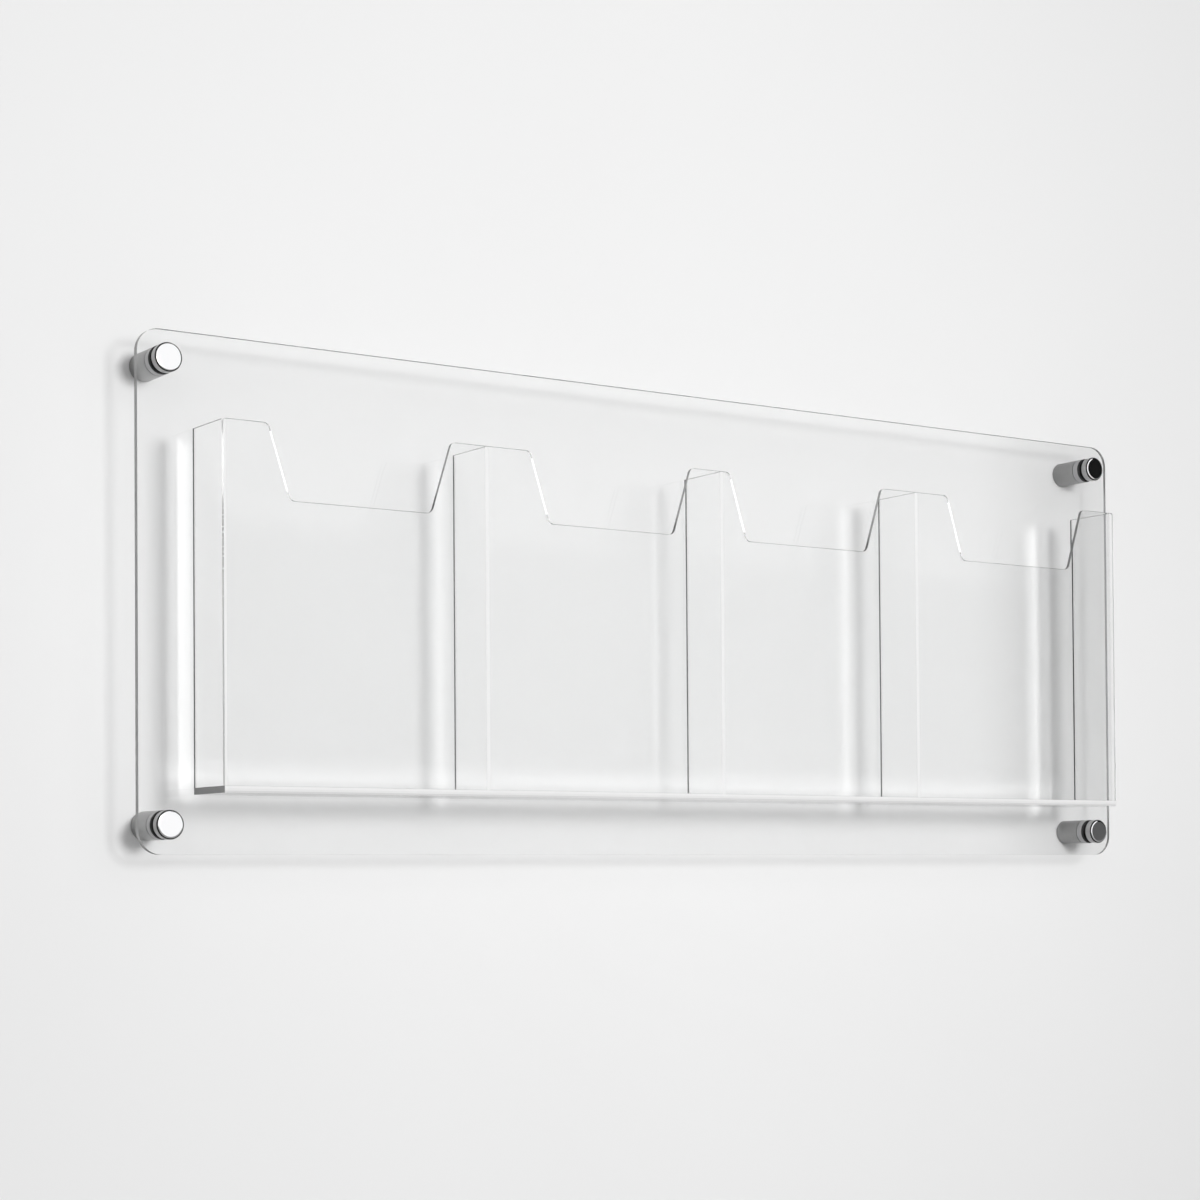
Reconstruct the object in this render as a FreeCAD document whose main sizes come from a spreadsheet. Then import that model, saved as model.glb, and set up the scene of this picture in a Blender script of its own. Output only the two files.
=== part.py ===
# Wall-mounted clear acrylic magazine rack with four pockets, held off the
# wall by four round stand-offs with screw-on caps.
#
# Frame: origin on the wall plane, at the centre of the stand-off pattern.
# +X is the viewer's right, +Y runs into the wall, +Z is up. Units are mm.
import FreeCAD, Part
import math
import os
import Sketcher

V = FreeCAD.Vector
doc = FreeCAD.newDocument("MagazineRack")

# ---------------------------------------------------------------- parameters
sheet = doc.addObject("Spreadsheet::Sheet", "Params")
PARAMS = [
    # back panel
    ("panel_width", 1000.0), ("panel_height", 390.0), ("panel_thick", 5.0),
    ("panel_corner", 18.0), ("panel_hole_radius", 5.25),
    ("panel_back_gap", 35.0),          # wall to the panel's back face
    # pocket unit
    ("wall_thick", 3.0), ("shelf_thick", 5.0), ("pocket_pitch", 227.0),
    ("upright_one", 2.0),              # divider 1 stands this much left of the even pitch
    ("upright_three", 13.0),           # divider 3 stands this much left of the even pitch
    ("pocket_inner_depth", 49.5), ("shelf_low", -150.5), ("ear_top", 123.0),
    ("bond_line", 0.1),                # solvent-cement line at glued joints
    # notch in the front of each pocket: the right-hand pair is a little wider
    ("notch_first_mid", 340.5), ("notch_second_mid", 111.5),      # left of the middle
    ("notch_third_mid", 90.0), ("notch_fourth_mid", 332.0),       # right of the middle
    ("notch_floor_width", 121.0), ("notch_mouth_width", 157.0),   # first and second
    ("wide_floor_width", 130.0), ("wide_mouth_width", 166.0),     # third and fourth
    ("notch_floor", 66.5), ("notch_floor_fillet", 6.0),
    ("notch_mouth_fillet", 5.0), ("ear_end_fillet", 2.0),
    # stand-offs
    ("stand_spacing_wide", 956.0), ("stand_spacing_high", 346.0),
    ("barrel_radius", 11.0), ("barrel_length", 34.0), ("barrel_bore", 5.0),
    ("barrel_base", 5.0), ("screw_hole_radius", 2.75),
    ("screw_head_radius", 4.6),
    ("barrel_chamfer", 0.5),
    ("groove_front", 27.2), ("groove_width", 0.8), ("groove_depth", 0.6),
    ("washer_radius", 10.8), ("washer_hole", 5.2),
    ("rear_washer_thick", 0.96), ("front_washer_thick", 0.96),
    ("seat_play", 0.02),               # free play at each washer face
    ("stud_radius", 4.95), ("stud_in_barrel", 12.0), ("stud_in_cap", 5.5),
    ("cap_radius", 11.0), ("cap_thick", 7.0), ("cap_bore_depth", 6.0),
    ("cap_chamfer", 1.1),
]
P = {}
for row, (alias, value) in enumerate(PARAMS, start=1):
    sheet.set("A%d" % row, alias)
    sheet.set("B%d" % row, repr(value))
    sheet.setAlias("B%d" % row, alias)
    P[alias] = value
doc.recompute()


def ex(text):
    """Turns bare aliases into references to the parameter sheet."""
    out, word = "", ""
    for ch in text + " ":
        if ch.isalnum() or ch == "_":
            word += ch
            continue
        if word in P:
            word = "Params." + word
        out += word + ch
        word = ""
    return out.strip()


# ---------------------------------------------------------------- helpers
def new_body(name):
    return doc.addObject("PartDesign::Body", name)


def new_sketch(body, name, role, offset):
    """A sketch on one of the body's own origin planes, moved along its normal."""
    sk = body.newObject("Sketcher::SketchObject", name)
    plane = [o for o in body.Origin.OriginFeatures if o.Role == role][0]
    sk.AttachmentSupport = [(plane, "")]
    sk.MapMode = "FlatFace"
    sk.setExpression("AttachmentOffset.Base.z", ex(offset))
    return sk


def dim(sk, kind, args, name, expression):
    i = sk.addConstraint(Sketcher.Constraint(kind, *args))
    sk.renameConstraint(i, name)
    sk.setExpression("Constraints." + name, ex(expression))


def polygon(sk, points):
    """A closed outline. Each point is (x value, x expression, y value, y expression)."""
    n = len(points)
    pts = [V(p[0], p[2], 0) for p in points]
    for i in range(n):
        sk.addGeometry(Part.LineSegment(pts[i], pts[(i + 1) % n]), False)
    for i in range(n):
        sk.addConstraint(Sketcher.Constraint("Coincident", i, 2, (i + 1) % n, 1))
    for i, p in enumerate(points):
        dim(sk, "DistanceX", (-1, 1, i, 1, p[0]), "px%d" % i, p[1])
        dim(sk, "DistanceY", (-1, 1, i, 1, p[2]), "py%d" % i, p[3])


def val(text):
    """The number an expression of aliases stands for, for first positions."""
    out, word = [], ""
    tokens = []
    for ch in text + " ":
        if ch.isalnum() or ch in "_.":
            word += ch
            continue
        if word:
            tokens.append(word)
            word = ""
        if ch in "+-*/()":
            tokens.append(ch)
    pos = [0]

    def atom():
        t = tokens[pos[0]]
        pos[0] += 1
        if t == "(":
            v = total()
            pos[0] += 1
            return v
        if t == "-":
            return -atom()
        return P[t] if t in P else float(t)

    def product():
        v = atom()
        while pos[0] < len(tokens) and tokens[pos[0]] in "*/":
            t = tokens[pos[0]]
            pos[0] += 1
            w = atom()
            v = v * w if t == "*" else v / w
        return v

    def total():
        v = product()
        while pos[0] < len(tokens) and tokens[pos[0]] in "+-":
            t = tokens[pos[0]]
            pos[0] += 1
            w = product()
            v = v + w if t == "+" else v - w
        return v

    return total()


def rectangle(sk, x0, x1, y0, y1):
    a, b, c, d = val(x0), val(x1), val(y0), val(y1)
    polygon(sk, [(a, x0, c, y0), (b, x1, c, y0), (b, x1, d, y1), (a, x0, d, y1)])


def circle(sk, x, y, radius):
    i = sk.addGeometry(Part.Circle(V(val(x), val(y), 0), V(0, 0, 1), val(radius)), False)
    dim(sk, "DistanceX", (-1, 1, i, 3, val(x)), "cx%d" % i, x)
    dim(sk, "DistanceY", (-1, 1, i, 3, val(y)), "cy%d" % i, y)
    dim(sk, "Radius", (i, val(radius)), "cr%d" % i, radius)


def pad(body, sk, length, name):
    f = body.newObject("PartDesign::Pad", name)
    f.Profile = sk
    f.setExpression("Length", ex(length))
    sk.Visibility = False
    body.Tip = f
    doc.recompute()
    return f


def pocket(body, sk, length, name):
    before = body.Shape.Volume
    f = body.newObject("PartDesign::Pocket", name)
    f.Profile = sk
    f.setExpression("Length", ex(length))
    sk.Visibility = False
    body.Tip = f
    doc.recompute()
    if not f.Shape.Volume < before - 1e-6:
        f.Reversed = True
        doc.recompute()
    assert f.Shape.Volume < before - 1e-6, name
    return f


def edges_where(feature, test):
    found = []
    for i, e in enumerate(feature.Shape.Edges, start=1):
        if test(e):
            found.append("Edge%d" % i)
    return found


def dress(body, kind, base, names, size, name):
    assert names, name
    f = body.newObject("PartDesign::" + kind, name)
    f.Base = (base, names)
    f.setExpression("Radius" if kind == "Fillet" else "Size", ex(size))
    body.Tip = f
    doc.recompute()
    return f


def along_y(e):
    if e.Curve.TypeId != "Part::GeomLine":
        return False
    d = e.Vertexes[-1].Point - e.Vertexes[0].Point
    return d.Length > 1e-6 and abs(abs(d.y) - d.Length) < 1e-6


def along_x(e):
    if e.Curve.TypeId != "Part::GeomLine":
        return False
    d = e.Vertexes[-1].Point - e.Vertexes[0].Point
    return d.Length > 1e-6 and abs(abs(d.x) - d.Length) < 1e-6


def circle_at(e, y, radius):
    return (e.Curve.TypeId == "Part::GeomCircle" and abs(e.Curve.Radius - radius) < 1e-6
            and abs(e.Curve.Center.y - y) < 1e-6)


parts = {}

# stand-off positions: name, X expression, Z expression
STANDS = [
    ("top_left", "0 - stand_spacing_wide / 2", "stand_spacing_high / 2"),
    ("top_right", "stand_spacing_wide / 2", "stand_spacing_high / 2"),
    ("bottom_left", "0 - stand_spacing_wide / 2", "0 - stand_spacing_high / 2"),
    ("bottom_right", "stand_spacing_wide / 2", "0 - stand_spacing_high / 2"),
]

# ---------------------------------------------------------------- back panel
# Sketches on XZ_Plane extrude towards -Y, away from the wall.
b = new_body("back_panel")
sk = new_sketch(b, "panel_outline", "XZ_Plane", "panel_back_gap")
rectangle(sk, "0 - panel_width / 2", "panel_width / 2", "0 - panel_height / 2", "panel_height / 2")
f = pad(b, sk, "panel_thick", "panel_pad")
f = dress(b, "Fillet", f, edges_where(f, along_y), "panel_corner", "panel_corners")
sk = new_sketch(b, "panel_holes", "XZ_Plane", "panel_back_gap + panel_thick")
for _, x, z in STANDS:
    circle(sk, x, z, "panel_hole_radius")
f = pocket(b, sk, "panel_thick", "panel_hole_pocket")
parts["back_panel"] = b

# ---------------------------------------------------------------- pocket shelf
FRONT_Y = "(panel_back_gap + panel_thick)"      # the panel's front face is at -FRONT_Y
OUTER = "(pocket_pitch * 2 + wall_thick / 2)"   # half the pocket unit's width
DEPTH = "(pocket_inner_depth + wall_thick)"     # panel's face to the front sheet's face
b = new_body("pocket_shelf")
sk = new_sketch(b, "shelf_outline", "XY_Plane", "shelf_low")
rectangle(sk, "0 - " + OUTER, OUTER, "0 - " + FRONT_Y + " - " + DEPTH, "0 - " + FRONT_Y + " - bond_line")
f = pad(b, sk, "shelf_thick", "shelf_pad")
parts["pocket_shelf"] = b

# ---------------------------------------------------------------- front sheet
SHELF_TOP = "(shelf_low + shelf_thick + bond_line)"
b = new_body("front_sheet")
sk = new_sketch(b, "front_outline", "XZ_Plane", FRONT_Y + " + pocket_inner_depth")
rectangle(sk, "0 - " + OUTER, OUTER, SHELF_TOP, "ear_top")
f = pad(b, sk, "wall_thick", "front_pad")
for word, mid, floor, mouth in (
        ("first", "(0 - notch_first_mid)", "notch_floor_width", "notch_mouth_width"),
        ("second", "(0 - notch_second_mid)", "notch_floor_width", "notch_mouth_width"),
        ("third", "(notch_third_mid * 1)", "wide_floor_width", "wide_mouth_width"),
        ("fourth", "(notch_fourth_mid * 1)", "wide_floor_width", "wide_mouth_width")):
    sk = new_sketch(b, word + "_notch_outline", "XZ_Plane", FRONT_Y + " + " + DEPTH)
    hf, hm = floor + " / 2", mouth + " / 2"
    polygon(sk, [
        (val(mid + " - " + hf), mid + " - " + hf, val("notch_floor"), "notch_floor"),
        (val(mid + " + " + hf), mid + " + " + hf, val("notch_floor"), "notch_floor"),
        (val(mid + " + " + hm), mid + " + " + hm, val("ear_top"), "ear_top"),
        (val(mid + " - " + hm), mid + " - " + hm, val("ear_top"), "ear_top"),
    ])
    f = pocket(b, sk, "wall_thick", word + "_notch")
f = dress(b, "Fillet", f, edges_where(f, lambda e: along_y(e) and abs(e.Vertexes[0].Point.z - P["notch_floor"]) < 1e-4),
          "notch_floor_fillet", "notch_floor_corners")
f = dress(b, "Fillet", f, edges_where(f, lambda e: along_y(e) and abs(e.Vertexes[0].Point.z - P["ear_top"]) < 1e-4
                                      and abs(e.Vertexes[0].Point.x) < val(OUTER) - 1),
          "notch_mouth_fillet", "notch_mouth_corners")
f = dress(b, "Fillet", f, edges_where(f, lambda e: along_y(e) and abs(e.Vertexes[0].Point.z - P["ear_top"]) < 1e-4
                                      and abs(e.Vertexes[0].Point.x) > val(OUTER) - 1),
          "ear_end_fillet", "ear_end_corners")
parts["front_sheet"] = b

# ---------------------------------------------------------------- end walls and dividers
UPRIGHTS = [
    ("left_end_wall", "(0 - pocket_pitch * 2)"),
    ("divider_1", "(0 - pocket_pitch - upright_one)"),
    ("divider_2", "(pocket_pitch * 0)"),
    ("divider_3", "(pocket_pitch - upright_three)"),
    ("right_end_wall", "(pocket_pitch * 2)"),
]
for name, x in UPRIGHTS:
    b = new_body(name)
    # YZ_Plane: sketch x is Y, sketch y is Z, and the extrusion runs to +X
    sk = new_sketch(b, name + "_outline", "YZ_Plane", x + " - wall_thick / 2")
    rectangle(sk, "0 - " + FRONT_Y + " - pocket_inner_depth + bond_line", "0 - " + FRONT_Y + " - bond_line",
              SHELF_TOP, "ear_top")
    f = pad(b, sk, "wall_thick", name + "_pad")
    parts[name] = b

# ---------------------------------------------------------------- stand-offs
BARREL_END = "barrel_length"
REAR_WASHER = "(barrel_length + seat_play)"
FRONT_WASHER = "(panel_back_gap + panel_thick + seat_play)"
CAP_BACK = "(panel_back_gap + panel_thick + seat_play * 2 + front_washer_thick)"
for name, x, z in STANDS:
    node = "standoff_barrel_" + name
    b = new_body(node)
    sk = new_sketch(b, node + "_round", "XZ_Plane", "0")
    circle(sk, x, z, "barrel_radius")
    f = pad(b, sk, "barrel_length", node + "_pad")
    sk = new_sketch(b, node + "_bore", "XZ_Plane", "barrel_length")
    circle(sk, x, z, "barrel_bore")
    f = pocket(b, sk, "barrel_length - barrel_base", node + "_bore_pocket")
    sk = new_sketch(b, node + "_screw_hole", "XZ_Plane", "barrel_base")
    circle(sk, x, z, "screw_hole_radius")
    f = pocket(b, sk, "barrel_base", node + "_screw_pocket")
    f = dress(b, "Chamfer", f, edges_where(f, lambda e: circle_at(e, -P["barrel_base"], P["screw_hole_radius"])),
              "screw_head_radius - screw_hole_radius", node + "_countersink")
    # a narrow turned groove sets off the front collar of the barrel
    sk = new_sketch(b, node + "_groove_ring", "XZ_Plane", "groove_front")
    circle(sk, x, z, "barrel_radius + 1")
    circle(sk, x, z, "barrel_radius - groove_depth")
    f = pocket(b, sk, "groove_width", node + "_groove")
    f = dress(b, "Chamfer", f, edges_where(f, lambda e: circle_at(e, 0.0, P["barrel_radius"])
                                           or circle_at(e, -P["barrel_length"], P["barrel_radius"])),
              "barrel_chamfer", node + "_edges")
    parts[node] = b

    node = "front_washer_" + name
    b = new_body(node)
    sk = new_sketch(b, node + "_ring", "XZ_Plane", FRONT_WASHER)
    circle(sk, x, z, "washer_radius")
    circle(sk, x, z, "washer_hole")
    f = pad(b, sk, "front_washer_thick", node + "_pad")
    parts[node] = b

    node = "standoff_cap_" + name
    b = new_body(node)
    sk = new_sketch(b, node + "_round", "XZ_Plane", CAP_BACK)
    circle(sk, x, z, "cap_radius")
    f = pad(b, sk, "cap_thick", node + "_pad")
    sk = new_sketch(b, node + "_bore", "XZ_Plane", CAP_BACK)
    circle(sk, x, z, "barrel_bore")
    before = b.Shape.Volume
    f = b.newObject("PartDesign::Pocket", node + "_thread_pocket")
    f.Profile = sk
    f.Reversed = True
    f.setExpression("Length", ex("cap_bore_depth"))
    b.Tip = f
    doc.recompute()
    assert f.Shape.Volume < before - 100, node
    front = val(CAP_BACK) + P["cap_thick"]
    f = dress(b, "Chamfer", f, edges_where(f, lambda e: circle_at(e, -front, P["cap_radius"])),
              "cap_chamfer", node + "_bevel")
    f = dress(b, "Chamfer", f, edges_where(f, lambda e: circle_at(e, -val(CAP_BACK), P["cap_radius"])),
              "barrel_chamfer / 2", node + "_back_edge")
    parts[node] = b


def cylinder(name, x, y, z, radius, length):
    """A cylinder from y towards -Y."""
    c = doc.addObject("Part::Cylinder", name)
    c.Placement = FreeCAD.Placement(V(0, 0, 0), FreeCAD.Rotation(V(1, 0, 0), 90))
    c.setExpression("Radius", ex(radius))
    c.setExpression("Height", ex(length))
    c.setExpression("Placement.Base.x", ex(x))
    c.setExpression("Placement.Base.y", ex(y))
    c.setExpression("Placement.Base.z", ex(z))
    return c


# the four threaded studs, alike, that join barrel and cap through the panel
STUD_LENGTH = "(stud_in_barrel + " + CAP_BACK + " - barrel_length + stud_in_cap)"
studs = []
for name, x, z in STANDS:
    c = cylinder("stud_" + name, x, "0 - barrel_length + stud_in_barrel", z, "stud_radius", STUD_LENGTH)
    doc.recompute()
    ch = doc.addObject("Part::Chamfer", "stud_ends_" + name)
    ch.Base = c
    ids = [i for i, e in enumerate(c.Shape.Edges, start=1) if e.Curve.TypeId == "Part::GeomCircle"]
    ch.Edges = [(i, 0.6, 0.6) for i in ids]
    studs.append(ch)
doc.recompute()
group = doc.addObject("Part::Compound", "standoff_studs")
group.Links = studs
parts["standoff_studs"] = group

# the four thin rear washers, alike, between barrel and panel
rings = []
for name, x, z in STANDS:
    outer = cylinder("rear_washer_disc_" + name, x, "0 - " + REAR_WASHER, z, "washer_radius", "rear_washer_thick")
    inner = cylinder("rear_washer_hole_" + name, x, "0 - " + REAR_WASHER, z, "washer_hole", "rear_washer_thick")
    ring = doc.addObject("Part::Cut", "rear_washer_" + name)
    ring.Base = outer
    ring.Tool = inner
    rings.append(ring)
doc.recompute()
group = doc.addObject("Part::Compound", "rear_washers")
group.Links = rings
parts["rear_washers"] = group

doc.recompute()

# ---------------------------------------------------------------- checks and export
for o in doc.Objects:
    for state in o.State:
        assert state not in ("Invalid", "Error"), (o.Name, o.State)
    if hasattr(o, "Shape") and o.TypeId not in ("App::Plane", "App::Line", "App::Point"):
        assert o.Shape is not None and not o.Shape.isNull(), o.Name
        if o.TypeId != "Sketcher::SketchObject":
            assert o.Shape.isValid(), o.Name

os.makedirs("parts", exist_ok=True)
for node, obj in parts.items():
    obj.Shape.exportStep("parts/%s.step" % node)
    bb = obj.Shape.BoundBox
    print("%-30s solids %d  vol %10.1f  X %8.2f %8.2f  Y %8.2f %8.2f  Z %8.2f %8.2f" % (
        node, len(obj.Shape.Solids), obj.Shape.Volume, bb.XMin, bb.XMax, bb.YMin, bb.YMax, bb.ZMin, bb.ZMax))
print("nodes", len(parts))
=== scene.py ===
import bpy
import bmesh
import math
from mathutils import Matrix, Vector


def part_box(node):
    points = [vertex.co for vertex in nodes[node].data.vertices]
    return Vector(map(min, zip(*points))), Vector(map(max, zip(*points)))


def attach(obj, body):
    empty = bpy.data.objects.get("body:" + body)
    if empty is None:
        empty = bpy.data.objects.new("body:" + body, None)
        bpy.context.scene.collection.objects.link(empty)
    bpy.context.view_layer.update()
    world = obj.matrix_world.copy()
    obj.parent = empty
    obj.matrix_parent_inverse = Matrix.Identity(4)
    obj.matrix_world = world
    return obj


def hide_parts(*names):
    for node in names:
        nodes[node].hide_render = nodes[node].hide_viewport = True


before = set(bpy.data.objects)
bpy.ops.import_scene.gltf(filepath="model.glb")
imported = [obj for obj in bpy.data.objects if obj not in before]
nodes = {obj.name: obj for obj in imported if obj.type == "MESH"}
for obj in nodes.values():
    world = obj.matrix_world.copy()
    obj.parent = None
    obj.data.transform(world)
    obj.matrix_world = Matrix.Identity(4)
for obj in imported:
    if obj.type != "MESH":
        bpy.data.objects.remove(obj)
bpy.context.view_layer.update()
scene = bpy.context.scene

# ------------------------------------------------------------------ camera
YAW, PITCH, ROLL = 0.59686, 0.0201, -0.0072
fw = Vector((math.sin(YAW) * math.cos(PITCH), math.cos(YAW) * math.cos(PITCH), math.sin(PITCH)))
rt = fw.cross(Vector((0, 0, 1))).normalized()
up = rt.cross(fw)
rt, up = (math.cos(ROLL) * rt + math.sin(ROLL) * up, -math.sin(ROLL) * rt + math.cos(ROLL) * up)
cam_data = bpy.data.cameras.new("camera")
cam = bpy.data.objects.new("camera", cam_data)
scene.collection.objects.link(cam)
cam.matrix_world = Matrix((
    (rt.x, up.x, -fw.x, -1.24934), (rt.y, up.y, -fw.y, -1.74540), (rt.z, up.z, -fw.z, -0.21642), (0, 0, 0, 1)))
cam_data.sensor_width = 36.0
cam_data.lens = 2496.127 / 1200 * 36.0
cam_data.shift_y = 230.384 / 1200
cam_data.clip_start, cam_data.clip_end = 0.05, 60.0
cam_data.dof.use_dof = False
scene.camera = cam

# ------------------------------------------------------------------ light paths and tones
scene.view_settings.view_transform = "Standard"
scene.view_settings.look = "None"
scene.view_settings.exposure = 0.0
scene.view_settings.gamma = 1.0
cy = scene.cycles
cy.max_bounces = 40
cy.transmission_bounces = 40
cy.glossy_bounces = 24
cy.diffuse_bounces = 4
cy.transparent_max_bounces = 48
cy.caustics_reflective = True
cy.caustics_refractive = True
cy.blur_glossy = 0.0
cy.sample_clamp_indirect = 4.0
cy.use_denoising = True


# ------------------------------------------------------------------ node helpers
class Tree:
    def __init__(self, tree):
        self.t = tree
        self.t.nodes.clear()

    def n(self, kind, **kw):
        node = self.t.nodes.new(kind)
        for k, v in kw.items():
            setattr(node, k, v)
        return node

    def link(self, a, b):
        self.t.links.new(a, b)

    def put(self, socket, value):
        if hasattr(value, "is_linked") or isinstance(value, bpy.types.NodeSocket):
            self.t.links.new(value, socket)
        else:
            socket.default_value = value

    def math(self, op, a, b=0.0, c=0.0, clamp=False):
        node = self.n("ShaderNodeMath", operation=op, use_clamp=clamp)
        self.put(node.inputs[0], a)
        self.put(node.inputs[1], b)
        if op in ("MULTIPLY_ADD", "SMOOTH_MIN", "SMOOTH_MAX", "WRAP", "COMPARE"):
            self.put(node.inputs[2], c)
        return node.outputs[0]

    def remap(self, v, a, b, c=0.0, d=1.0, smooth=True):
        node = self.n("ShaderNodeMapRange", interpolation_type="SMOOTHSTEP" if smooth else "LINEAR", clamp=True)
        self.put(node.inputs["Value"], v)
        node.inputs["From Min"].default_value = a
        node.inputs["From Max"].default_value = b
        node.inputs["To Min"].default_value = c
        node.inputs["To Max"].default_value = d
        return node.outputs["Result"]

    def ramp(self, v, stops, mode="LINEAR"):
        node = self.n("ShaderNodeValToRGB")
        node.color_ramp.interpolation = mode
        el = node.color_ramp.elements
        while len(el) > 1:
            el.remove(el[-1])
        el[0].position, el[0].color = stops[0][0], (*stops[0][1], 1)
        for p, c in stops[1:]:
            e = el.new(p)
            e.color = (*c, 1)
        self.put(node.inputs["Fac"], v)
        return node.outputs["Color"]

    def noise(self, vec, scale, detail=2.0, rough=0.5, dist=0.0):
        node = self.n("ShaderNodeTexNoise")
        self.put(node.inputs["Vector"], vec)
        node.inputs["Scale"].default_value = scale
        node.inputs["Detail"].default_value = detail
        node.inputs["Roughness"].default_value = rough
        node.inputs["Distortion"].default_value = dist
        return node.outputs["Fac"]

    def scaled(self, vec, scale):
        node = self.n("ShaderNodeMapping")
        self.put(node.inputs["Vector"], vec)
        node.inputs["Scale"].default_value = scale
        return node.outputs["Vector"]

    def bump(self, height, strength, distance, normal=None):
        node = self.n("ShaderNodeBump")
        self.put(node.inputs["Height"], height)
        node.inputs["Strength"].default_value = strength
        node.inputs["Distance"].default_value = distance
        if normal is not None:
            self.put(node.inputs["Normal"], normal)
        return node.outputs["Normal"]

    def mixc(self, f, a, b):
        node = self.n("ShaderNodeMix", data_type="RGBA")
        self.put(node.inputs["Factor"], f)
        ia, ib = [s for s in node.inputs if s.type == "RGBA"][:2]
        self.put(ia, a)
        self.put(ib, b)
        return [s for s in node.outputs if s.type == "RGBA"][0]


def material(name):
    m = bpy.data.materials.new(name)
    m.use_nodes = True
    return m, Tree(m.node_tree)


def grey(v):
    return (v, v, v)


# ------------------------------------------------------------------ world: a pale studio
# A wide white field in front, open room beyond it on both sides, pale below the horizon.
world = bpy.data.worlds.new("studio")
scene.world = world
world.use_nodes = True
w = Tree(world.node_tree)
WHITE, ROOM, FLOOR = 1.06, 0.010, 0.32
tc = w.n("ShaderNodeTexCoord")
sep = w.n("ShaderNodeSeparateXYZ")
w.link(tc.outputs["Generated"], sep.inputs[0])
front = w.math("MULTIPLY", sep.outputs["Y"], -1.0)
az = w.math("ARCTAN2", sep.outputs["X"], front)               # 0 straight out from the wall, + to the right
el = w.math("ARCSINE", sep.outputs["Z"])
# the white field stands in front, from the left round to 44 degrees on the right
field = w.math("MULTIPLY", w.remap(az, math.radians(-48), math.radians(-34), 0.30, 1.0),
               w.remap(az, math.radians(42.6), math.radians(44.6), 1.0, 0.0))
field = w.math("MULTIPLY", field, w.remap(el, math.radians(24), math.radians(46), 1.0, 0.12))
far = w.remap(az, math.radians(54), math.radians(85), 0.0, 0.36)
lit = w.math("MAXIMUM", w.math("MULTIPLY", field, WHITE), far)
low = w.math("MULTIPLY", w.remap(az, math.radians(42.6), math.radians(44.6), 0.0, 1.0),
             w.remap(el, math.radians(2.5), math.radians(6.5), 0.10, 0.0))
sky = w.math("ADD", w.math("ADD", lit, ROOM), low)
below = w.remap(el, math.radians(-3.0), math.radians(-0.5), 1.0, 0.0)
level = w.math("ADD", w.math("MULTIPLY", sky, w.math("SUBTRACT", 1.0, below)), w.math("MULTIPLY", below, FLOOR))
# seen straight on or through clear sheets it is a plain pale backdrop
path = w.n("ShaderNodeLightPath")
straight = w.math("MULTIPLY", w.math("LESS_THAN", path.outputs["Glossy Depth"], 0.5),
                  w.math("LESS_THAN", path.outputs["Diffuse Depth"], 0.5))
level = w.math("ADD", w.math("MULTIPLY", level, w.math("SUBTRACT", 1.0, straight)), w.math("MULTIPLY", straight, 0.80))
rgb = w.n("ShaderNodeCombineColor")
for i in range(3):
    w.link(level, rgb.inputs[i])
bg = w.n("ShaderNodeBackground")
bg.inputs["Strength"].default_value = 1.0
w.link(rgb.outputs[0], bg.inputs["Color"])
out = w.n("ShaderNodeOutputWorld")
w.link(bg.outputs[0], out.inputs["Surface"])
world.cycles.sampling_method = "NONE"

# ------------------------------------------------------------------ key light
key_data = bpy.data.lights.new("key", "AREA")
key_data.shape = "DISK"
key_data.size = 0.54
KEY = 41.5
key_data.energy = KEY
key_data.cycles.use_multiple_importance_sampling = False
key = bpy.data.objects.new("key", key_data)
scene.collection.objects.link(key)
key.location = (-0.05, -2.55, 0.31)
key.rotation_mode = "QUATERNION"
key.rotation_quaternion = (Vector((-0.05, 0, 0.0)) - key.location).to_track_quat("-Z", "Y")
key.visible_camera = False

# ------------------------------------------------------------------ the wall (stage)
wm, t = material("painted_wall")
geo = t.n("ShaderNodeNewGeometry")
tco = t.n("ShaderNodeTexCoord")
pb = t.n("ShaderNodeBsdfPrincipled")
soft = t.noise(tco.outputs["Object"], 1.3, 2.0)
t.link(t.mixc(soft, (0.80, 0.80, 0.80, 1), (0.84, 0.84, 0.84, 1)), pb.inputs["Base Color"])
pb.inputs["Roughness"].default_value = 0.9
pb.inputs["Specular IOR Level"].default_value = 0.1
tr = t.n("ShaderNodeBsdfTransparent")
mx = t.n("ShaderNodeMixShader")
t.link(geo.outputs["Backfacing"], mx.inputs[0])
t.link(pb.outputs[0], mx.inputs[1])
t.link(tr.outputs[0], mx.inputs[2])
o = t.n("ShaderNodeOutputMaterial")
t.link(mx.outputs[0], o.inputs["Surface"])
bpy.ops.mesh.primitive_plane_add(size=9.0)
wall = bpy.context.object
wall.name = "wall_backdrop"
wall.rotation_euler = (math.radians(90), 0, 0)      # its normal faces -Y
wall.location = (0, 0.0003, 0)
wall.data.materials.append(wm)

# ------------------------------------------------------------------ light thrown back by the clear faces
# The key meets the dividers and the shelf at a low angle, so each face throws
# half of it back on to the wall. Each patch is the key's mirror image, shining
# through a window the size of that face.
on_wall = bpy.data.collections.new("on_wall")
on_wall.objects.link(wall)
not_screens = bpy.data.collections.new("not_screens")
screen_mat, t = material("screen_black")
d = t.n("ShaderNodeBsdfDiffuse")
d.inputs["Color"].default_value = (0, 0, 0, 1)
o = t.n("ShaderNodeOutputMaterial")
t.link(d.outputs[0], o.inputs["Surface"])


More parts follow.
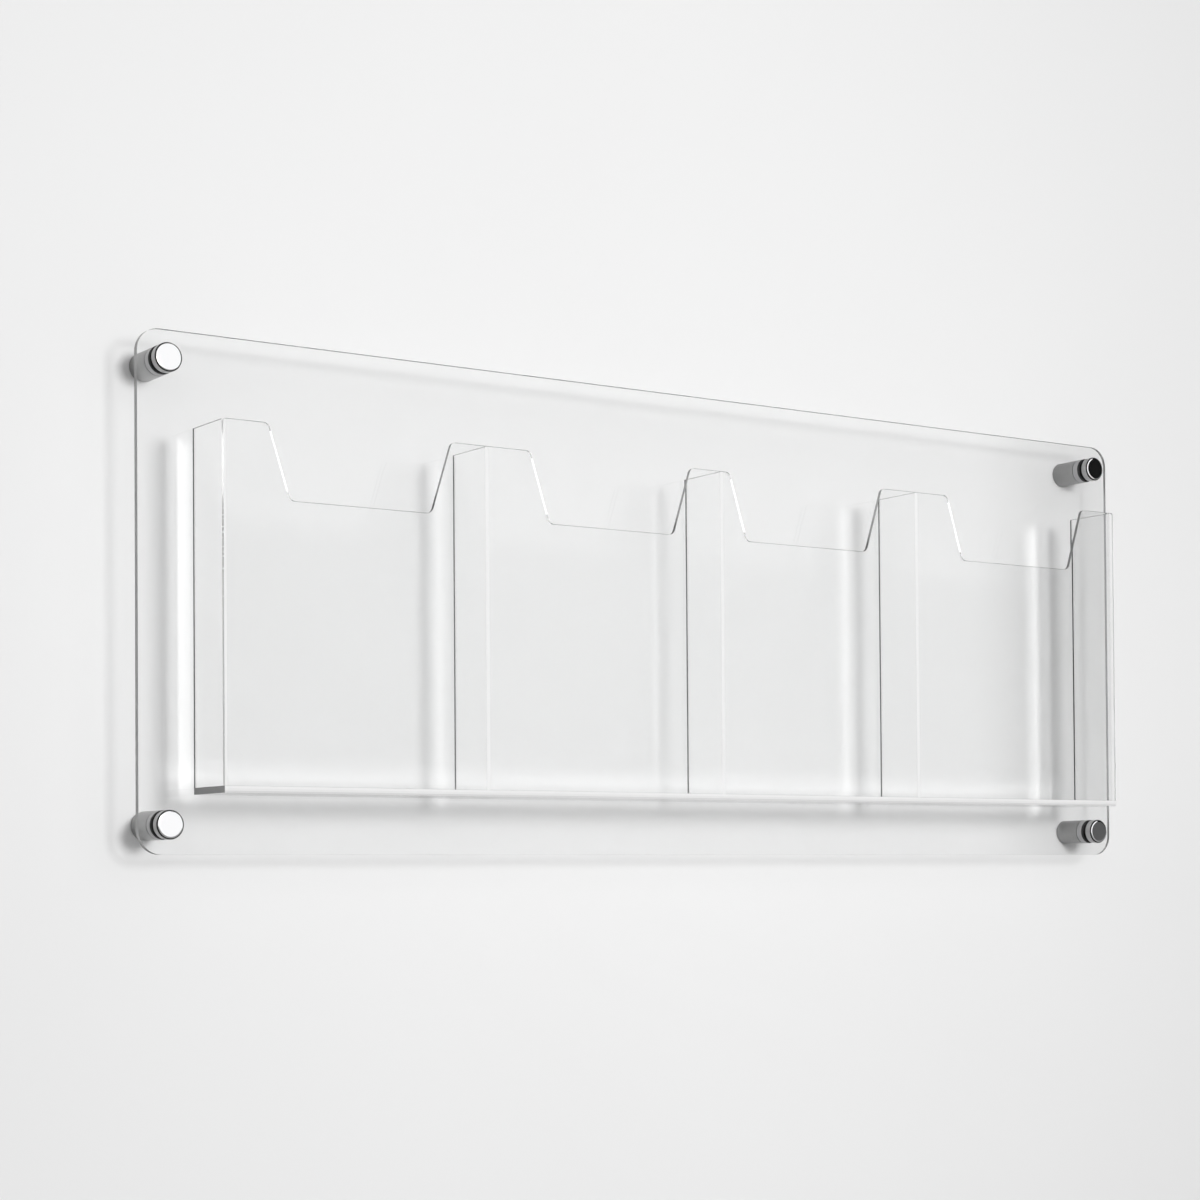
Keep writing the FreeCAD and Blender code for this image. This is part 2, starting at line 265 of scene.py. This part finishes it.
def thrown_back(name, axis, at, low, high, y0, y1, back, share):
    """axis 0: an upright face at X=at, Z from low to high. axis 2: a level face
    at Z=at, X from low to high. back is the side the light comes back on (+1/-1)."""
    k = list(key.location)
    aim = [-0.05, 0.0, 0.0]
    k[axis] = 2 * at - k[axis]
    aim[axis] = 2 * at - aim[axis]
    d = bpy.data.lights.new(name, "AREA")
    d.shape, d.size, d.energy = "DISK", 0.54, KEY * share
    d.cycles.use_multiple_importance_sampling = False
    lamp = bpy.data.objects.new(name, d)
    scene.collection.objects.link(lamp)
    lamp.location = k
    lamp.rotation_mode = "QUATERNION"
    lamp.rotation_quaternion = (Vector(aim) - lamp.location).to_track_quat("-Z", "Y")
    lamp.visible_camera = False
    lamp.visible_glossy = False
    lamp.visible_transmission = False
    bm = bmesh.new()

    def quad(points):
        vs = []
        for u, y, v in points:                      # u runs along the face's normal
            vs.append(bm.verts.new((u, y, v) if axis == 0 else (v, y, u)))
        bm.faces.new(vs)

    big, far_y = 6.0, -2.2
    quad([(at, far_y, -big), (at, y0, -big), (at, y0, big), (at, far_y, big)])
    quad([(at, y1, -big), (at, 0.0, -big), (at, 0.0, big), (at, y1, big)])
    quad([(at, y0, -big), (at, y1, -big), (at, y1, low), (at, y0, low)])
    quad([(at, y0, high), (at, y1, high), (at, y1, big), (at, y0, big)])
    yb = y1 + 0.0006
    quad([(at, yb, -big), (at - back * big, yb, -big), (at - back * big, yb, big), (at, yb, big)])
    quad([(at + back * 0.002, -0.5, -big), (at + back * big, -0.5, -big), (at + back * big, -0.5, big), (at + back * 0.002, -0.5, big)])
    me = bpy.data.meshes.new(name + "_screen")
    bm.to_mesh(me)
    bm.free()
    me.materials.append(screen_mat)
    s = bpy.data.objects.new(name + "_screen", me)
    scene.collection.objects.link(s)
    s.visible_camera = s.visible_diffuse = s.visible_glossy = False
    s.visible_transmission = s.visible_volume_scatter = False
    blockers = bpy.data.collections.new(name + "_blockers")
    blockers.objects.link(s)
    lamp.light_linking.receiver_collection = on_wall
    lamp.light_linking.blocker_collection = blockers
    not_screens.objects.link(s)


THROW = 0.60
for node, back in (("left_end_wall", 1), ("divider_1", 1), ("divider_2", 1), ("divider_2", -1),
                   ("divider_3", -1), ("right_end_wall", -1)):
    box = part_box(node)
    thrown_back("back_light_%s_%s" % (node, "b" if back < 0 else "a"), 0, box[1][0] if back > 0 else box[0][0],
                -0.1455, 0.123, -0.0925, -0.0120 if node == "left_end_wall" else -0.0401, back, THROW * {"right_end_wall": 1.3, "left_end_wall": 0.88}.get(node, 1.0))
thrown_back("back_light_shelf", 2, -0.1455, -0.4555, 0.4555, -0.0925, -0.0401, 1, THROW * 0.55)
for link in not_screens.collection_objects:
    link.light_linking.link_state = "EXCLUDE"
key.light_linking.blocker_collection = not_screens

# ------------------------------------------------------------------ clear acrylic


def acrylic(name, seed, sheet_axis, edges, clear, painted_glow=None):
    """Clear cast acrylic. edges: (normal axis, sign, least |n|, position axis or None,
    low, high, how opaque, grey) for each sawn, bonded or polished edge; some of these greys are painted shade.
    The last argument lists faces given painted light: an emission, though they are no lamp."""
    m, t = material(name)
    tco = t.n("ShaderNodeTexCoord")
    p = tco.outputs["Object"]
    geo = t.n("ShaderNodeNewGeometry")
    ns = t.n("ShaderNodeSeparateXYZ")
    t.link(geo.outputs["True Normal"], ns.inputs[0])
    ps = t.n("ShaderNodeSeparateXYZ")
    t.link(p, ps.inputs[0])
    # the true normal is flipped on back faces, so it is turned outwards again
    turn = t.math("MULTIPLY_ADD", geo.outputs["Backfacing"], -2.0, 1.0)
    norm = [t.math("MULTIPLY", ns.outputs[k], turn) for k in range(3)]
    edge = t.remap(t.math("ABSOLUTE", norm[sheet_axis]), 0.3, 0.8, 1.0, 0.0)
    pb = t.n("ShaderNodeBsdfPrincipled")
    pb.inputs["IOR"].default_value = 1.49
    # faint handling haze and hairline polish marks on the faces, saw marks on the edges
    haze = t.remap(t.noise(p, 9.0 + seed, 3.0), 0.52, 0.80, 0.0, 1.0)
    hair = t.remap(t.noise(t.scaled(p, (260, 260, 14)), 3.0, 2.0), 0.66, 0.72, 0.0, 1.0)
    saw = t.noise(t.scaled(p, (900, 60, 900)), 1.0, 2.0)
    rough = t.math("MULTIPLY_ADD", haze, 0.010, t.math("MULTIPLY", hair, 0.006))
    rough = t.math("ADD", rough, t.math("MULTIPLY", edge, t.math("MULTIPLY_ADD", saw, 0.05, 0.045)))
    colour = t.mixc(haze, (*clear, 1), (clear[0] - 0.006, clear[1] - 0.006, clear[2] - 0.006, 1))
    cover = None
    for ax, sign, least, pax, lo, hi, amount, tone in edges:
        mask = t.remap(t.math("MULTIPLY", norm[ax], float(sign)), least - 0.1, least)
        if pax is not None:
            mid, half = (lo + hi) / 2, (hi - lo) / 2
            near = t.math("LESS_THAN", t.math("ABSOLUTE", t.math("SUBTRACT", ps.outputs[pax], mid)), half)
            mask = t.math("MULTIPLY", mask, near)
        colour = t.mixc(mask, colour, t.mixc(saw, (tone * 0.92, tone * 0.92, tone * 0.92, 1), (tone, tone, tone, 1)))
        part = t.math("MULTIPLY", mask, amount)
        cover = part if cover is None else t.math("MAXIMUM", cover, part)
    t.link(colour, pb.inputs["Base Color"])
    t.link(t.math("ADD", rough, t.math("MULTIPLY", cover, 0.35)), pb.inputs["Roughness"])
    t.link(t.math("SUBTRACT", 1.0, cover), pb.inputs["Transmission Weight"])
    edge_gloss_and_washer_shade = t.remap(cover, 0.0, 0.25, 0.5, 0.0, smooth=False)
    if name == "acrylic_back_panel":                       # painted shade: the panel's gloss is taken away in a ring round each washer, so the panel reads darker there like a contact shadow
        dx = t.math("SUBTRACT", t.math("ABSOLUTE", ps.outputs[0]), 0.478)
        dz = t.math("SUBTRACT", t.math("ABSOLUTE", ps.outputs[2]), 0.173)
        rr = t.math("SQRT", t.math("ADD", t.math("MULTIPLY", dx, dx), t.math("MULTIPLY", dz, dz)))
        edge_gloss_and_washer_shade = t.math("MULTIPLY", edge_gloss_and_washer_shade, t.remap(rr, 0.0125, 0.0150, 0.0, 1.0))
    t.link(edge_gloss_and_washer_shade, pb.inputs["Specular IOR Level"])
    if painted_glow is not None:                                   # painted light: emission, though no lamp is there, on the +X-facing notch slopes (a painted highlight) and on the front sheet's two ends (a painted glow)
        painted_glow_strength = None
        for ax, sign, least, most, pax, lo, hi, strength in painted_glow:
            facing = t.math("MULTIPLY", norm[ax], float(sign))
            mask = t.math("MULTIPLY", t.remap(facing, least - 0.1, least), t.math("LESS_THAN", facing, most))
            near = t.math("LESS_THAN", t.math("ABSOLUTE", t.math("SUBTRACT", ps.outputs[pax], (lo + hi) / 2)), (hi - lo) / 2)
            part = t.math("MULTIPLY", t.math("MULTIPLY", mask, near), strength)
            painted_glow_strength = part if painted_glow_strength is None else t.math("MAXIMUM", painted_glow_strength, part)
        pb.inputs["Emission Color"].default_value = (1.0, 1.0, 1.0, 1)
        t.link(painted_glow_strength, pb.inputs["Emission Strength"])
    wave = t.math("MULTIPLY", t.noise(p, 5.0 + seed, 1.0), t.math("SUBTRACT", 1.0, edge))
    t.link(t.bump(wave, 0.12, 0.0006), pb.inputs["Normal"])
    lp = t.n("ShaderNodeLightPath")
    lw = t.n("ShaderNodeLayerWeight")
    lw.inputs["Blend"].default_value = 0.5
    tr = t.n("ShaderNodeBsdfTransparent")
    t.link(t.ramp(lw.outputs["Facing"], [
        (0.0, grey(0.965)), (0.5, grey(0.92)), (0.7, grey(0.80)), (0.8, grey(0.64)), (0.9, grey(0.42)), (0.96, grey(0.25)), (1.0, grey(0.15))]),
        tr.inputs["Color"])
    if name == "acrylic_back_panel":                       # light near the outer edge is bent away from the wall
        ex = t.remap(t.math("ABSOLUTE", ps.outputs[0]), 0.4940, 0.4955, 0.0, 1.0)
        ez = t.remap(t.math("ABSOLUTE", ps.outputs[2]), 0.1885, 0.1900, 0.0, 1.0)
        through = tr.inputs["Color"].links[0].from_socket
        t.link(t.mixc(t.math("MULTIPLY", t.math("MAXIMUM", ex, ez), 0.09), through, (0.0, 0.0, 0.0, 1)), tr.inputs["Color"])
    mx = t.n("ShaderNodeMixShader")
    t.link(lp.outputs["Is Shadow Ray"], mx.inputs[0])
    t.link(pb.outputs[0], mx.inputs[1])
    t.link(tr.outputs[0], mx.inputs[2])
    o = t.n("ShaderNodeOutputMaterial")
    t.link(mx.outputs[0], o.inputs["Surface"])
    return m


def dress(obj, mat):
    if obj.data.materials:
        for i in range(len(obj.data.materials)):
            obj.data.materials[i] = mat
    else:
        obj.data.materials.append(mat)


def bevel(obj, width, segments=2, angle=40):
    b = obj.modifiers.new("edge", "BEVEL")
    b.width = width
    b.segments = segments
    b.limit_method = "ANGLE"
    b.angle_limit = math.radians(angle)
    b.harden_normals = False
    return b


X, Y, Z = 0, 1, 2
UPRIGHT = [(Y, -1, 0.7, None, 0, 0, 0.88, 0.92),      # front edge, satin, under the front sheet
           (Y, 1, 0.7, None, 0, 0, 0.95, 0.008),      # back edge, the cement line on the panel
           (Z, 1, 0.7, None, 0, 0, 0.75, 0.06),       # top edge
           (Z, -1, 0.7, None, 0, 0, 0.50, 0.30)]
EDGES = {
    "back_panel": (Y, [(X, -1, 0.30, X, -0.51, -0.47, 0.48, 0.78), (X, 1, 0.30, X, 0.47, 0.51, 0.48, 0.78),
                       (Z, 1, 0.75, Z, 0.18, 0.20, 0.60, 0.30), (Z, -1, 0.75, Z, -0.20, -0.18, 0.75, 0.30)],
                   (0.945, 0.947, 0.947), None),
    # painted shade: the shelf's front edge is painted in three bands, lightest at the top and darkest at the bottom,
    # and its -X end is painted lighter than its +X end
    "pocket_shelf": (Z, [(Y, -1, 0.7, Z, -0.1473, -0.1450, 0.80, 0.99), (Y, -1, 0.7, Z, -0.1490, -0.1473, 0.80, 0.92),
                         (Y, -1, 0.7, Z, -0.1510, -0.1490, 0.80, 0.76), (Y, 1, 0.7, None, 0, 0, 0.80, 0.10),
                         (X, -1, 0.7, None, 0, 0, 0.55, 0.50), (X, 1, 0.7, None, 0, 0, 0.50, 0.30)],
                     (0.96, 0.962, 0.962), None),
    "front_sheet": (Y, [(Z, 1, 0.90, Z, 0.11, 0.13, 0.65, 0.15), (Z, 1, 0.90, Z, 0.06, 0.07, 0.65, 0.12),
                        # painted shade: the -X-facing notch slopes are painted dark (grey 0.22), the shaded side of
                        # the notches
                        (X, -1, 0.70, X, -0.450, 0.450, 0.62, 0.22), (Z, -1, 0.9, None, 0, 0, 0.60, 0.30),
                        (X, -1, 0.70, X, -0.46, -0.455, 0.55, 0.88), (X, 1, 0.70, X, 0.455, 0.46, 0.55, 0.88)],
                    # painted light: the +X-facing notch slopes and the front sheet's two ends are given emission
                    (0.965, 0.967, 0.967), [(X, 1, 0.85, 0.985, Z, 0.074, 0.117, 0.95),
                     (X, -1, 0.85, 1.1, X, -0.46, -0.455, 0.18), (X, 1, 0.85, 1.1, X, 0.455, 0.46, 0.18)]),
}
for i, name in enumerate(["back_panel", "pocket_shelf", "front_sheet", "left_end_wall", "divider_1",
                          "divider_2", "divider_3", "right_end_wall"]):
    obj = nodes[name]
    axis, rules, clear, painted_glow = EDGES.get(name, (X, UPRIGHT, (0.994, 0.995, 0.995), None))
    dress(obj, acrylic("acrylic_" + name, 0.7 * i, axis, rules, clear, painted_glow))
    bevel(obj, {"back_panel": 0.0004, "pocket_shelf": 0.00035, "front_sheet": 0.0004}.get(name, 0.00025))

# ------------------------------------------------------------------ metals and rubber
POS = {"top_left": (-0.478, 0.173), "top_right": (0.478, 0.173),
       "bottom_left": (-0.478, -0.173), "bottom_right": (0.478, -0.173)}


def radial(t, p, cx, cz):
    """Radius and angle about an axis along Y through (cx, cz)."""
    sub = t.n("ShaderNodeVectorMath", operation="SUBTRACT")
    t.link(p, sub.inputs[0])
    sub.inputs[1].default_value = (cx, 0, cz)
    s = t.n("ShaderNodeSeparateXYZ")
    t.link(sub.outputs[0], s.inputs[0])
    r = t.math("SQRT", t.math("ADD", t.math("MULTIPLY", s.outputs["X"], s.outputs["X"]),
                              t.math("MULTIPLY", s.outputs["Z"], s.outputs["Z"])))
    a = t.math("ARCTAN2", s.outputs["Z"], s.outputs["X"])
    return r, a, s.outputs["Y"]


def satin(name, cx, cz, low=0.29, high=0.38):
    """Turned and satin-blasted steel: fine rings round the axis."""
    m, t = material(name)
    p = t.n("ShaderNodeTexCoord").outputs["Object"]
    r, a, y = radial(t, p, cx, cz)
    comb = t.n("ShaderNodeCombineXYZ")
    t.link(t.math("MULTIPLY", a, 0.6), comb.inputs[0])
    t.link(t.math("MULTIPLY", y, 5200.0), comb.inputs[1])
    t.link(t.math("MULTIPLY", r, 5200.0), comb.inputs[2])
    rings = t.noise(comb.outputs[0], 1.0, 3.0, 0.6)
    grain = t.noise(p, 2600.0, 2.0)
    cloud = t.noise(p, 90.0, 2.0)
    pb = t.n("ShaderNodeBsdfPrincipled")
    pb.inputs["Metallic"].default_value = 1.0
    tone = t.ramp(t.math("MULTIPLY_ADD", cloud, 0.4, t.math("MULTIPLY", rings, 0.6)),
                  [(0.3, grey(low)), (0.7, grey(high))])
    collar = t.remap(y, -0.02718, -0.02722, 0.0, 1.0, smooth=False)
    depth = t.remap(r, 0.01046, 0.01085, 1.0, 0.0)
    inside = t.math("MULTIPLY", depth, t.math("LESS_THAN", t.math("ABSOLUTE", t.math("ADD", y, 0.0268)), 0.0006))
    tone = t.mixc(collar, tone, (0.40, 0.40, 0.405, 1))
    painted_end_shade = t.remap(y, -0.03315, -0.03345, 0.0, 1.0)         # painted shade: the barrel's end under the washer is painted black
    dark = t.math("MAXIMUM", inside, painted_end_shade)
    t.link(t.mixc(dark, tone, (0.006, 0.006, 0.006, 1)), pb.inputs["Base Color"])
    t.link(t.math("MULTIPLY_ADD", rings, 0.10, t.math("MULTIPLY_ADD", cloud, 0.05, 0.34)), pb.inputs["Roughness"])
    t.link(t.bump(t.math("MULTIPLY_ADD", rings, 0.7, t.math("MULTIPLY", grain, 0.3)), 0.35, 0.00004), pb.inputs["Normal"])
    o = t.n("ShaderNodeOutputMaterial")
    t.link(pb.outputs[0], o.inputs["Surface"])
    return m


def cap_metal(name, cx, cz):
    """Satin side, mirror-polished face and bevel with the faintest lathe rings."""
    m, t = material(name)
    p = t.n("ShaderNodeTexCoord").outputs["Object"]
    r, a, y = radial(t, p, cx, cz)
    comb = t.n("ShaderNodeCombineXYZ")
    t.link(t.math("MULTIPLY", a, 0.6), comb.inputs[0])
    t.link(t.math("MULTIPLY", y, 5200.0), comb.inputs[1])
    t.link(t.math("MULTIPLY", r, 2600.0), comb.inputs[2])
    rings = t.noise(comb.outputs[0], 1.0, 3.0, 0.6)
    geo = t.n("ShaderNodeNewGeometry")
    ns = t.n("ShaderNodeSeparateXYZ")
    t.link(geo.outputs["True Normal"], ns.inputs[0])
    face = t.remap(t.math("MULTIPLY", ns.outputs["Y"], -1.0), 0.30, 0.45)
    side = t.math("SUBTRACT", 1.0, face)
    pb = t.n("ShaderNodeBsdfPrincipled")
    pb.inputs["Metallic"].default_value = 1.0
    t.link(t.mixc(side, (0.90, 0.90, 0.91, 1), t.ramp(rings, [(0.3, grey(0.36)), (0.7, grey(0.48))])), pb.inputs["Base Color"])
    t.link(t.math("ADD", t.math("MULTIPLY", face, 0.035), t.math("MULTIPLY", side, t.math("MULTIPLY_ADD", rings, 0.12, 0.30))),
           pb.inputs["Roughness"])
    t.link(t.bump(rings, 0.04, 0.00002), pb.inputs["Normal"])
    o = t.n("ShaderNodeOutputMaterial")
    t.link(pb.outputs[0], o.inputs["Surface"])
    return m


def rubber():
    m, t = material("black_rubber")
    p = t.n("ShaderNodeTexCoord").outputs["Object"]
    n1 = t.noise(p, 1400.0, 3.0)
    n2 = t.noise(p, 160.0, 2.0)
    pb = t.n("ShaderNodeBsdfPrincipled")
    t.link(t.ramp(n2, [(0.3, grey(0.008)), (0.7, grey(0.016))]), pb.inputs["Base Color"])
    t.link(t.math("MULTIPLY_ADD", n1, 0.2, 0.55), pb.inputs["Roughness"])
    t.link(t.bump(n1, 0.3, 0.00005), pb.inputs["Normal"])
    o = t.n("ShaderNodeOutputMaterial")
    t.link(pb.outputs[0], o.inputs["Surface"])
    return m


def spin(name, profile, cx, cz, slots, steps=96):
    """A closed solid of revolution about an axis along Y. profile is a closed
    outline of (radius, y, slot) points; slot is the material from that point on."""
    bm = bmesh.new()
    loops = []
    for r, y, _ in profile:
        if r < 1e-9:
            loops.append([bm.verts.new((cx, y, cz))])
        else:
            loops.append([bm.verts.new((cx + r * math.cos(2 * math.pi * k / steps), y,
                                        cz + r * math.sin(2 * math.pi * k / steps))) for k in range(steps)])
    n = len(profile)
    for i in range(n):
        a, b = loops[i], loops[(i + 1) % n]
        if len(a) == 1 and len(b) == 1:
            continue
        for k in range(steps):
            k2 = (k + 1) % steps
            if len(a) == 1:
                f = bm.faces.new((a[0], b[k2], b[k]))
            elif len(b) == 1:
                f = bm.faces.new((a[k], a[k2], b[0]))
            else:
                f = bm.faces.new((a[k], a[k2], b[k2], b[k]))
            f.material_index = profile[i][2]
            f.smooth = True
    bmesh.ops.recalc_face_normals(bm, faces=bm.faces)
    me = bpy.data.meshes.new(name)
    bm.to_mesh(me)
    bm.free()
    for mat in slots:
        me.materials.append(mat)
    obj = bpy.data.objects.new(name, me)
    scene.collection.objects.link(obj)
    es = obj.modifiers.new("sharp", "EDGE_SPLIT")
    es.split_angle = math.radians(28)
    return obj


def rim_black():
    """The cap's dark rim: a near-black bevel, glossy with a fine grain."""
    m, t = material("cap_rim_black")
    p = t.n("ShaderNodeTexCoord").outputs["Object"]
    g = t.noise(p, 2400.0, 2.0)
    pb = t.n("ShaderNodeBsdfPrincipled")
    t.link(t.ramp(t.noise(p, 200.0, 2.0), [(0.3, grey(0.006)), (0.7, grey(0.014))]), pb.inputs["Base Color"])
    t.link(t.math("MULTIPLY_ADD", g, 0.12, 0.22), pb.inputs["Roughness"])
    t.link(t.bump(g, 0.1, 0.00003), pb.inputs["Normal"])
    o = t.n("ShaderNodeOutputMaterial")
    t.link(pb.outputs[0], o.inputs["Surface"])
    return m


def thread(name, cx, cz, y0, y1, pitch, crest, root, slots, steps=48):
    """A stud with a helical thread between y0 and y1 (y1 < y0), and chamfered ends."""
    bm = bmesh.new()
    prof = [(0.00, root), (0.12, root), (0.44, crest), (0.56, crest), (0.88, root)]   # within one pitch
    turns = (y0 - y1) / pitch
    rows = int(turns * len(prof)) + 1
    grid = []
    length = y0 - y1
    for i in range(-len(prof), rows + len(prof)):
        base, k = divmod(i, len(prof))
        f, r = prof[k]
        ring = []
        for j in range(steps):
            a = 2 * math.pi * j / steps
            s = (base + f + j / steps) * pitch
            s2 = min(max(s, 0.0), length)
            lim = 0.82 * root + min(s2, length - s2) * 1.0       # chamfer at both ends
            rr = min(r, max(lim, 0.80 * root))
            ring.append(bm.verts.new((cx + rr * math.cos(a), y0 - s2, cz - rr * math.sin(a))))
        grid.append(ring)
    for i in range(len(grid) - 1):
        for j in range(steps - 1):
            bm.faces.new((grid[i][j], grid[i][j + 1], grid[i + 1][j + 1], grid[i + 1][j]))
    for i in range(len(grid) - len(prof) - 1):
        bm.faces.new((grid[i + len(prof)][0], grid[i + 1 + len(prof)][0], grid[i + 1][-1], grid[i][-1]))
    bmesh.ops.remove_doubles(bm, verts=bm.verts, dist=1e-7)
    bmesh.ops.dissolve_degenerate(bm, edges=bm.edges, dist=1e-7)
    bmesh.ops.holes_fill(bm, edges=[e for e in bm.edges if e.is_boundary], sides=0)
    bmesh.ops.recalc_face_normals(bm, faces=bm.faces)
    me = bpy.data.meshes.new(name)
    bm.to_mesh(me)
    bm.free()
    for mat in slots:
        me.materials.append(mat)
    obj = bpy.data.objects.new(name, me)
    scene.collection.objects.link(obj)
    return obj


black = rubber()
rim = rim_black()
zinc = satin("plated_stud", 0, 0)
for where, (cx, cz) in POS.items():
    barrel, ring = nodes["standoff_barrel_" + where], nodes["front_washer_" + where]
    dress(barrel, satin("satin_steel_" + where, cx, cz))
    dress(ring, black)
    bevel(ring, 0.0002, 3, 40)
    y = -0.04100
    steel = cap_metal("cap_steel_" + where, cx, cz)
    outline = [(0.0050, y, 0), (0.01075, y, 0), (0.0110, y - 0.00025, 0), (0.0110, y - 0.00590, 1),
               (0.01090, y - 0.00622, 1), (0.01040, y - 0.00672, 1), (0.01012, y - 0.00682, 1),
               (0.01002, y - 0.00686, 0), (0.00975, y - 0.00692, 0), (0.00940, y - 0.00697, 0),
               (0.00900, y - 0.00700, 0), (0.00880, y - 0.00700, 0), (0.0, y - 0.00700, 0),
               (0.0, y - 0.0060, 0), (0.0050, y - 0.0060, 0)]
    cap = spin("cap_" + where, outline, cx, cz, [steel, rim])
    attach(cap, "cap_" + where)
    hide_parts("standoff_cap_" + where)
    stud = thread("stud_" + where, cx, cz, -0.0220, -0.0465, 0.0015, 0.00495, 0.00420, [zinc])
    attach(stud, "rack")
    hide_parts("standoff_studs")
dress(nodes["rear_washers"], black)
bevel(nodes["rear_washers"], 0.0002, 2, 40)
